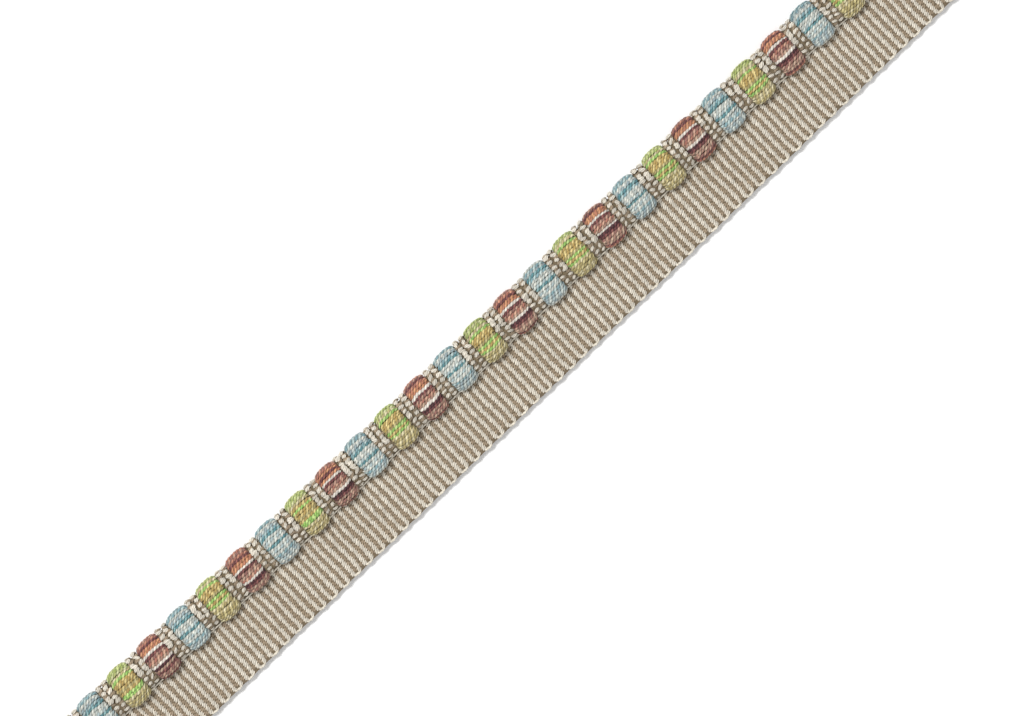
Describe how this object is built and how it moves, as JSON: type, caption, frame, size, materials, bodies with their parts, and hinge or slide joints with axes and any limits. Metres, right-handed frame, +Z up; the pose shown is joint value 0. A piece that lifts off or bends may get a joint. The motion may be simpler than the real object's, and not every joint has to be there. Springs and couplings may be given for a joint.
{
  "type": "cut length of flanged lip cord trimming",
  "caption": "Straight cut length of furnishing trimming: a low padded lip of coloured yarn bundles and beige waists beside a flat ribbed flange with a looped selvedge.",
  "frame": {"origin": "centre of the bounding box on the plane of the surface that the trimming lies on", "axes": "+X along the trimming, +Y across it from the looped selvedge to the padded lip, +Z up out of the face that shows"},
  "size_m": [0.254, 0.0212, 0.0046],
  "materials": {
    "ground": "ribbed woven tape of cream and taupe cotton yarns, matt",
    "brown_yarn": "soft floats of rust, maroon, tan and white yarn with a faint sheen",
    "blue_yarn": "soft floats of pale blue, teal and off-white yarn with a faint sheen",
    "green_yarn": "soft floats of lime, gold and pale yellow yarn with a faint sheen"
  },
  "bodies": {
    "root": {"flange": "ground", "lip_ground": "ground", "floats_01_brown": "brown_yarn", "floats_02_blue": "blue_yarn", "floats_03_green": "green_yarn", "floats_04_brown": "brown_yarn", "floats_05_blue": "blue_yarn", "floats_06_green": "green_yarn", "floats_07_brown": "brown_yarn", "floats_08_blue": "blue_yarn", "floats_09_green": "green_yarn", "floats_10_brown": "brown_yarn", "floats_11_blue": "blue_yarn", "floats_12_green": "green_yarn", "floats_13_brown": "brown_yarn", "floats_14_blue": "blue_yarn", "floats_15_green": "green_yarn", "floats_16_brown": "brown_yarn", "floats_17_blue": "blue_yarn", "floats_18_green": "green_yarn", "floats_19_brown": "brown_yarn", "floats_20_blue": "blue_yarn", "floats_21_green": "green_yarn", "floats_22_brown": "brown_yarn", "floats_23_blue": "blue_yarn", "floats_24_green": "green_yarn", "floats_25_brown": "brown_yarn", "floats_26_blue": "blue_yarn", "floats_27_green": "green_yarn", "floats_28_brown": "brown_yarn", "floats_29_blue": "blue_yarn", "floats_30_green": "green_yarn"}
  },
  "joints": []
}
